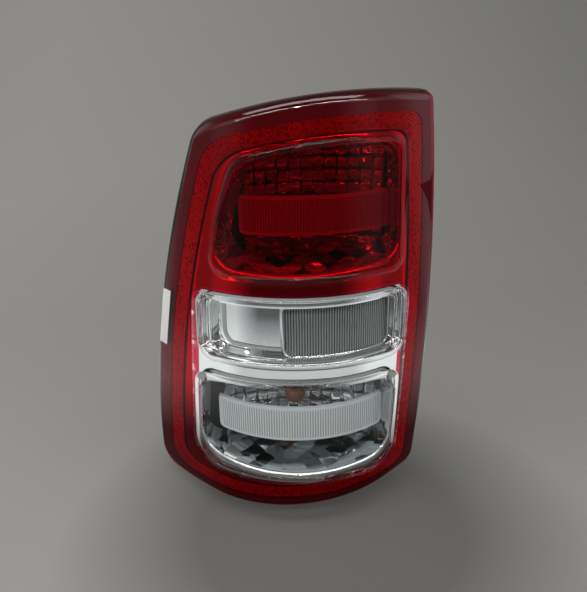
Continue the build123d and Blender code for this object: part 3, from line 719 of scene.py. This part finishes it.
# Painted shade: half as bright near the lamp's middle, where the band runs across the front
painted_front_shade = add(tree, "ShaderNodeMapRange", {"Value": side, "From Min": 0.06, "From Max": 0.115, "To Min": 0.5})
tone = add(tree, "ShaderNodeVectorMath", {0: painted_glints, "Scale": painted_front_shade}, operation="SCALE")
shader = add(tree, "ShaderNodeBsdfPrincipled", {"Base Color": tone, "Metallic": 0.35, "Roughness": 0.2})
add(tree, "ShaderNodeOutputMaterial", {"Surface": shader})
band_face, band_foot, prism_width, prism_rise, prism_step, row_step = 3.9, 5.2, 2.6, 0.65, 2.4, 2.08
strip_steps = [(0.3, band_foot), *((distance, band_face) for distance in (0.3, 4, 8, 12, 15.7)),
               (15.7, band_foot), (0.3, band_foot)]
strip = [lens_point(outline(shrunk(band_edge, distance), count=500), deep) for distance, deep in strip_steps]
band = solid("prism_band", [ladder(strip)], [red_prisms])
rows = []
for number, distance in enumerate(np.arange(1.6, 15, row_step)):
    row = outline(shrunk(band_edge, distance), prism_step)
    rows.append(row + (np.roll(row, -1, 0) - row) * (0.5 * (number % 2)))
flat = np.concatenate(rows)
spots = lens_point(flat, band_face)
outs = np.cross(lens_point(flat + [1, 0], band_face) - spots, lens_point(flat + [0, 1], band_face) - spots)
outs /= np.linalg.norm(outs, axis=1)[:, None]
cube = [(0.0, 1.0, 0.0)]
for k in range(6):
    turn = math.radians(60 * k + 30)
    cube.append((0.5 * math.cos(turn), 0.5 * (k % 2), 0.5 * math.sin(turn)))
prism = unit_of("prism", cube, [(0, 1, 6, 5), (0, 3, 2, 1), (0, 5, 4, 3)], smooth=False)
talls = np.full(len(spots), prism_width)
join(band, lay("prisms", prism, spots, outs, talls, prism_width, prism_rise, red_prisms), 0)
stand_for(band, "reflex_band")


# Outer lens, clear shot: the insert over the reverse and turn windows, with a raised bead round each.
# It is acrylic, moulded first, and the red shell is shot round it.
def bead(loop):
    """Raised round bead along an outline, in the shell's second finish, and the outlines of its foot."""
    side_steps = [(-0.9, 0.0), (-0.3, 0.2), (0.0, 0.9), (0.4, 1.5), (1.1, 1.8)]
    steps = side_steps + [(bead_width - distance, height) for distance, height in reversed(side_steps)]
    rings = [lens_point(inset(loop, distance), -height) for distance, height in steps]
    return ladder(rings, finish=1), inset(loop, steps[0][0]), inset(loop, steps[-1][0])


def bending(name, tint):
    """Raised bead of a clear moulding: it bends what lies behind it, and lets light in unbent."""
    material, tree = finish_named(name)
    bent = add(tree, "ShaderNodeBsdfRefraction", {"Color": linear(tint), "IOR": 1.3, "Roughness": 0.0})
    mirror = add(tree, "ShaderNodeBsdfGlossy", {"Color": (1, 1, 1, 1), "Roughness": 0.03})
    body = add(tree, "ShaderNodeMixShader", {0: gloss_share(tree, 0.025), 1: bent, 2: mirror})
    straight = add(tree, "ShaderNodeBsdfTransparent", {"Color": linear(tint)})
    shadow = add(tree, "ShaderNodeLightPath").outputs["Is Shadow Ray"]
    whole = add(tree, "ShaderNodeMixShader", {0: shadow, 1: body, 2: straight})
    add(tree, "ShaderNodeOutputMaterial", {"Surface": whole})
    return material


turn_window = ([(108, -187, 30), (111, -65, 16), (-114, -65, 18), (-121, -186, 32)], [0, 0, 0, 2])
stop_window = ([(110, 48, 12), (110, 182, 16), (-60, 165, 26), (-91, 47, 20)], [0, 8, 5, 0])
lens_wall, bead_width, shot_gap = 3.0, 4.5, 0.1
# Water-clear acrylic: seen only by its gloss and by the light its beads gather
clear_lens = see_through("water_clear_acrylic", "#fbfcfc", least=0.02)
clear_bead = bending("water_clear_acrylic_bead", "#fbfcfc")
seam = outline(clear_edge, 2.5)
insert_edge = inset(seam, shot_gap)
patches, holes = [], []
for shape in (reverse_window, turn_window):
    ridge, foot, middle = bead(outline(shape, 2.5))
    patches += [ridge, sheet(middle, [], 0.0)]
    holes.append(foot)
patches += [sheet(insert_edge, holes, 0.0), sheet(insert_edge, [], lens_wall)]
patches.append(ladder([lens_point(insert_edge, deep) for deep in (0.0, lens_wall)]))
clear_insert = solid("clear_insert", patches, [clear_lens, clear_bead], sharp=50)
stand_for(clear_insert, "outer_lens_clear")


# Outer lens, red shot: the red shell with its rolled edge and return lip, and the bead of the stop window.
# It is acrylic dyed right through. Its border and lip are painted inside, and the lip is welded to the
# housing's flange.
red_dye = "#e73080"
# Red acrylic: deep and even, black where nothing bright lies behind it
red_lens = see_through("red_dyed_acrylic", red_dye, least=0.008)
red_bead = bending("red_dyed_acrylic_bead", red_dye)
# Red acrylic of the rolled edge: the same, flame polished so that it catches a hard line of light
red_roll = see_through("red_dyed_acrylic_polished", red_dye, rough=0.01, least=0.05)
# Red acrylic of the border, which shows the room's sides as a thin grey veil over the paint
red_border = see_through("red_dyed_acrylic_border", red_dye, least=0.02)
# Mask paint: dark maroon on the inside of the border, so that no light leaks out at the rim
mask_paint = grained("maroon_mask_paint", "#461a25", "#4e1e29", rough=0.3, grain_mm=0.8, depth=0.01)
# Red acrylic of the lip, with the paint behind it: dark and glossy
painted_lip = grained("painted_red_lip", "#561a28", "#60202f", rough=0.12, grain_mm=0.8, depth=0.002,
                      **{"Specular IOR Level": 0.1})
edge_loop = outline(lamp_edge)
# The edge's roll grows from the sides to the top
side_roll, top_roll = 4, 10
upper = np.clip((-inward(edge_loop)[:, 1] - 0.45) / 0.4, 0, 1)
roll = side_roll + (top_roll - side_roll) * upper
rolled = []
for turn in np.radians(np.linspace(0, 90, 13)):
    ring = edge_loop + inward(edge_loop) * (roll * (1 - math.cos(turn)))[:, None]
    rolled.append((ring, roll * (1 - math.sin(turn))))
ridge, foot, middle = bead(outline(stop_window, 2.5))
inner, mask_edge = inset(edge_loop, lens_wall), inset(outline(band_edge), 0.2)
red_finishes = [red_lens, red_bead, mask_paint, painted_lip, red_roll, red_border]
patches = [ladder([trimmed(ring, deep, 0) for ring, deep in rolled], finish=4)]
patches += [sheet(rolled[-1][0], [mask_edge], 0.0, finish=5), sheet(mask_edge, [foot, seam], 0.0)]
patches += [ridge, sheet(middle, [], 0.0), sheet(mask_edge, [seam], lens_wall, limit=lens_wall)]
patches.append(sheet(inner, [mask_edge], lens_wall, finish=2, limit=lens_wall))
lip = [trimmed(edge_loop, np.maximum(roll, deep), 0) for deep in (0, 11, 13)]
skirt_steps = [(0.4, 13.6), (0.4, 17.4), (0.1, 17.4), (0.1, 14)]
lip += [trimmed(inset(edge_loop, -out), deep, -out) for out, deep in skirt_steps]
lip += [trimmed(inner, deep, lens_wall) for deep in (14, 10, 6, lens_wall)]
patches += [ladder(lip, finish=3), ladder([lens_point(seam, deep) for deep in (0.0, lens_wall)])]
red_shell = solid("red_shell", patches, red_finishes, sharp=50)
stand_for(red_shell, "outer_lens_red")


# Label: a blank strip of white paper stuck on the outboard edge of the lens.
# Its corners are square and it follows the lens's curve.
label_corners = np.array([(-160, -50), (-150, -51), (-138, 18), (-147.5, 19)])
columns, rows, paper_thickness = 4, 14, 0.15
u, v = np.meshgrid(np.linspace(0, 1, columns + 1), np.linspace(0, 1, rows + 1))
u, v = u.reshape(-1, 1), v.reshape(-1, 1)
a, b, c, d = label_corners
flat = (1 - v) * ((1 - u) * a + u * b) + v * ((1 - u) * d + u * c)
# Coated paper: flat white with a faint tooth
coated_paper = grained("coated_paper", "#d8d8d5", "#e0e0de", rough=0.6, grain_mm=0.7, depth=0.02)
strip = (lens_point(flat, -paper_thickness), grid_cells(columns, rows), 0)
label = solid("blank_label", [strip], [coated_paper], closed=False)
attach(label, "root")


# Studio: a sweep of pale grey paper under and behind the lamp, a soft box overhead, a strip light in front,
# a small hard lamp, a weak box at the left and a dim grey room. A glowing card under the lamp, which only
# mirrors see, is a painted reflection of the table.
floor_level = -250.0
bend = np.linspace(0, 1, 40)
curve = np.stack([100 + 2600 * bend, floor_level + 2400 * bend ** 3], -1)
sweep = np.concatenate([[(-3000, floor_level), (-1000, floor_level)], curve, [(2700, 5000)]])
points = [(x, y, z) for x in (4000, -4000) for y, z in sweep]
# Seamless paper: pale grey and dull, evened out to the eye as a long sweep is, with a painted shadow close
# round the lamp and painted falloff darker to the right and near the lamp
grey_paper, tree = finish_named("seamless_paper")
place = add(tree, "ShaderNodeTexCoord").outputs["Object"]
side = add(tree, "ShaderNodeVectorMath", {0: place, 1: vehicle_way((1, 0, 0))}, operation="DOT_PRODUCT")
# Painted falloff: the glow fades from left to right
painted_falloff_glow = add(tree, "ShaderNodeMapRange", {"Value": side, "From Min": -0.9, "From Max": 0.9, "To Min": 0.39,
                                        "To Max": 0.19})
reach = add(tree, "ShaderNodeVectorMath", {0: place, 1: placed((35, -150, floor_level))},
            operation="DISTANCE")
# Painted shadow: the paper and its glow darken close round the lamp's foot
painted_shadow = add(tree, "ShaderNodeMapRange", {"Value": reach, "From Min": 0.15, "From Max": 0.31, "To Min": 0.42})
# Painted falloff: the glow dims within a metre and a half of the lamp
painted_near_shade = add(tree, "ShaderNodeMapRange", {"Value": reach, "From Min": 0.4, "From Max": 1.5, "To Min": 0.75})
painted_falloff_glow = add(tree, "ShaderNodeMath", {0: painted_falloff_glow, 1: painted_near_shade}, operation="MULTIPLY")
painted_falloff_glow = add(tree, "ShaderNodeMath", {0: painted_falloff_glow, 1: painted_shadow}, operation="MULTIPLY")
# Painted shadow colour: dark grey close round the lamp
tone = add(tree, "ShaderNodeMix", {"Factor": painted_shadow, "A": linear("#303030"), "B": linear("#a9a8a4")},
           data_type="RGBA")
paper = add(tree, "ShaderNodeBsdfDiffuse", {"Color": tone})
glow = add(tree, "ShaderNodeEmission", {"Color": linear("#fffdf8"), "Strength": painted_falloff_glow})
path = add(tree, "ShaderNodeLightPath").outputs
seen = add(tree, "ShaderNodeMath", {0: path["Is Camera Ray"], 1: path["Is Glossy Ray"]}, operation="ADD")
seen = add(tree, "ShaderNodeMath", {0: seen, 1: path["Is Transmission Ray"]}, operation="MAXIMUM")
share = add(tree, "ShaderNodeMath", {0: seen, 1: 0.5}, operation="MULTIPLY")
whole = add(tree, "ShaderNodeMixShader", {0: share, 1: paper, 2: glow})
add(tree, "ShaderNodeOutputMaterial", {"Surface": whole})
backdrop = solid("paper_sweep", [(points, grid_cells(len(sweep) - 1, 1), 0)], [grey_paper], closed=False)


def front_share(tree, way):
    """How far to the lamp's front a direction points, seen from above."""
    level = add(tree, "ShaderNodeVectorMath", {0: way, 1: (1, 1, 0)}, operation="MULTIPLY")
    level = add(tree, "ShaderNodeVectorMath", {0: level}, operation="NORMALIZE")
    return add(tree, "ShaderNodeVectorMath", {0: level, 1: vehicle_way((0, -1, 0))}, operation="DOT_PRODUCT")


def room_tone(tree, front_way, tones):
    """Brightness of the room that the lamp mirrors, by how far to the front it lies."""
    turned = add(tree, "ShaderNodeMapRange", {"Value": front_way, "From Min": -1.0})
    walls = add(tree, "ShaderNodeValToRGB", {"Fac": turned})
    ramp = walls.color_ramp.elements
    for share, code in tones:
        ramp.new(share).color = linear(code)
    ramp.remove(ramp[0])
    ramp.remove(ramp[-1])
    return walls


near_tones = [(0.43, "#f0f0f0"), (0.50, "#ffffff"), (0.80, "#ffffff"), (0.88, "#d8d8d8")]
far_tones = [(0.45, "#ffffff"), (0.50, "#b0b0b0"), (0.67, "#b0b0b0"), (0.71, "#d8d8d8"),
             (0.79, "#d8d8d8"), (0.92, "#606060")]
# Painted reflection of a table top, glowing for mirrors only: painted shadow dark near the lamp, then
# bright, then the room's shapes
mirrored_table, tree = finish_named("mirrored_table")
card_level, card_half = floor_level + 2, 9000
place = add(tree, "ShaderNodeTexCoord").outputs["Object"]
axis_foot = placed((0, 0, card_level))
from_axis = add(tree, "ShaderNodeVectorMath", {0: place, 1: axis_foot}, operation="SUBTRACT")
reach = add(tree, "ShaderNodeVectorMath", {0: from_axis}, operation="LENGTH")
far = add(tree, "ShaderNodeMapRange", {"Value": reach, "From Min": 0.54, "From Max": 0.78})
# Painted shadow: the card glows only a tenth as bright close round the lamp
near = add(tree, "ShaderNodeMapRange", {"Value": reach, "From Min": 0.26, "From Max": 0.42, "To Min": 0.1})
front_way = front_share(tree, from_axis)
tone = add(tree, "ShaderNodeMix", {"Factor": far, "A": room_tone(tree, front_way, near_tones),
                                   "B": room_tone(tree, front_way, far_tones)}, data_type="RGBA")
table = add(tree, "ShaderNodeEmission", {"Color": tone, "Strength": near})
add(tree, "ShaderNodeOutputMaterial", {"Surface": table})
corners = [(x * card_half, y * card_half, card_level) for x, y in ((-1, -1), (1, -1), (1, 1), (-1, 1))]
card = solid("mirrored_table", [(corners, [(0, 1, 2, 3)], 0)], [mirrored_table], closed=False)
card.visible_camera = card.visible_shadow = card.visible_diffuse = card.visible_transmission = False


def soft_box(name, place, target, size, watts, mirrored=True):
    """Area lamp of a soft box, in the moulding frame, which the plating and the lens may mirror."""
    lamp = bpy.data.lights.new(name, "AREA")
    lamp.shape, lamp.size, lamp.size_y, lamp.energy = "RECTANGLE", size[0] / 1000, size[1] / 1000, watts
    holder = bpy.data.objects.new(name, lamp)
    holder.location = placed(place)
    aim = Vector(placed(target) - placed(place))
    holder.rotation_euler = aim.to_track_quat("-Z", "Y").to_euler()
    holder.visible_glossy = mirrored
    scene.collection.objects.link(holder)


lamp_front = (0, -100, 0)
soft_box("overhead_box", (0, -450, 1250), lamp_front, size=(1800, 450), watts=11)
soft_box("front_box", (100, -1250, 950), lamp_front, size=(3600, 35), watts=15)
soft_box("left_box", (-900, -600, 250), (-60, -100, 0), size=(400, 400), watts=1.7, mirrored=False)
soft_box("key_spot", (0, -900, 620), lamp_front, size=(70, 70), watts=0.9)
world = bpy.data.worlds.new("dim_room")
scene.world = world
world.use_nodes = True
tree = world.node_tree
tree.nodes.clear()
ahead = add(tree, "ShaderNodeTexCoord").outputs["Generated"]
up = add(tree, "ShaderNodeSeparateXYZ", {0: ahead}).outputs["Z"]
ceiling = add(tree, "ShaderNodeMapRange", {"Value": up, "From Min": 0.4, "From Max": 0.65, "To Min": 1.0,
                                           "To Max": 0.15})
walls = room_tone(tree, front_share(tree, ahead), far_tones)
sky = add(tree, "ShaderNodeBackground", {"Color": walls, "Strength": ceiling})
add(tree, "ShaderNodeOutputWorld", {"Surface": sky})


# Camera: stands in front of the lamp's corner and above it, turned a little aside and rolled a little,
# and looks down at it.
camera_place, focal_px, picture_px, sensor_mm = (0, -768.1, 251.15), 650, 592, 36
pitch, camera_roll, yaw = math.radians(19.772), math.radians(-1.002), math.radians(0.326)
ahead = Vector((-math.sin(yaw) * math.cos(pitch), math.cos(yaw) * math.cos(pitch), -math.sin(pitch)))
across = Vector((math.cos(yaw), math.sin(yaw), 0))
upward = across.cross(ahead)
right = across * math.cos(camera_roll) + upward * math.sin(camera_roll)
top = upward * math.cos(camera_roll) - across * math.sin(camera_roll)
axes = Matrix([vehicle_way(way) for way in (right, top, -ahead)]).transposed()
lens = bpy.data.cameras.new("camera")
lens.sensor_fit, lens.sensor_height, lens.sensor_width = "VERTICAL", sensor_mm, sensor_mm
lens.lens = focal_px * sensor_mm / picture_px
lens.clip_end = 50
camera = bpy.data.objects.new("camera", lens)
camera.matrix_world = Matrix.Translation(Vector(placed(camera_place))) @ axes.to_4x4()
scene.collection.objects.link(camera)
scene.camera = camera
scene.view_settings.view_transform = "Standard"
scene.cycles.transparent_max_bounces = 32
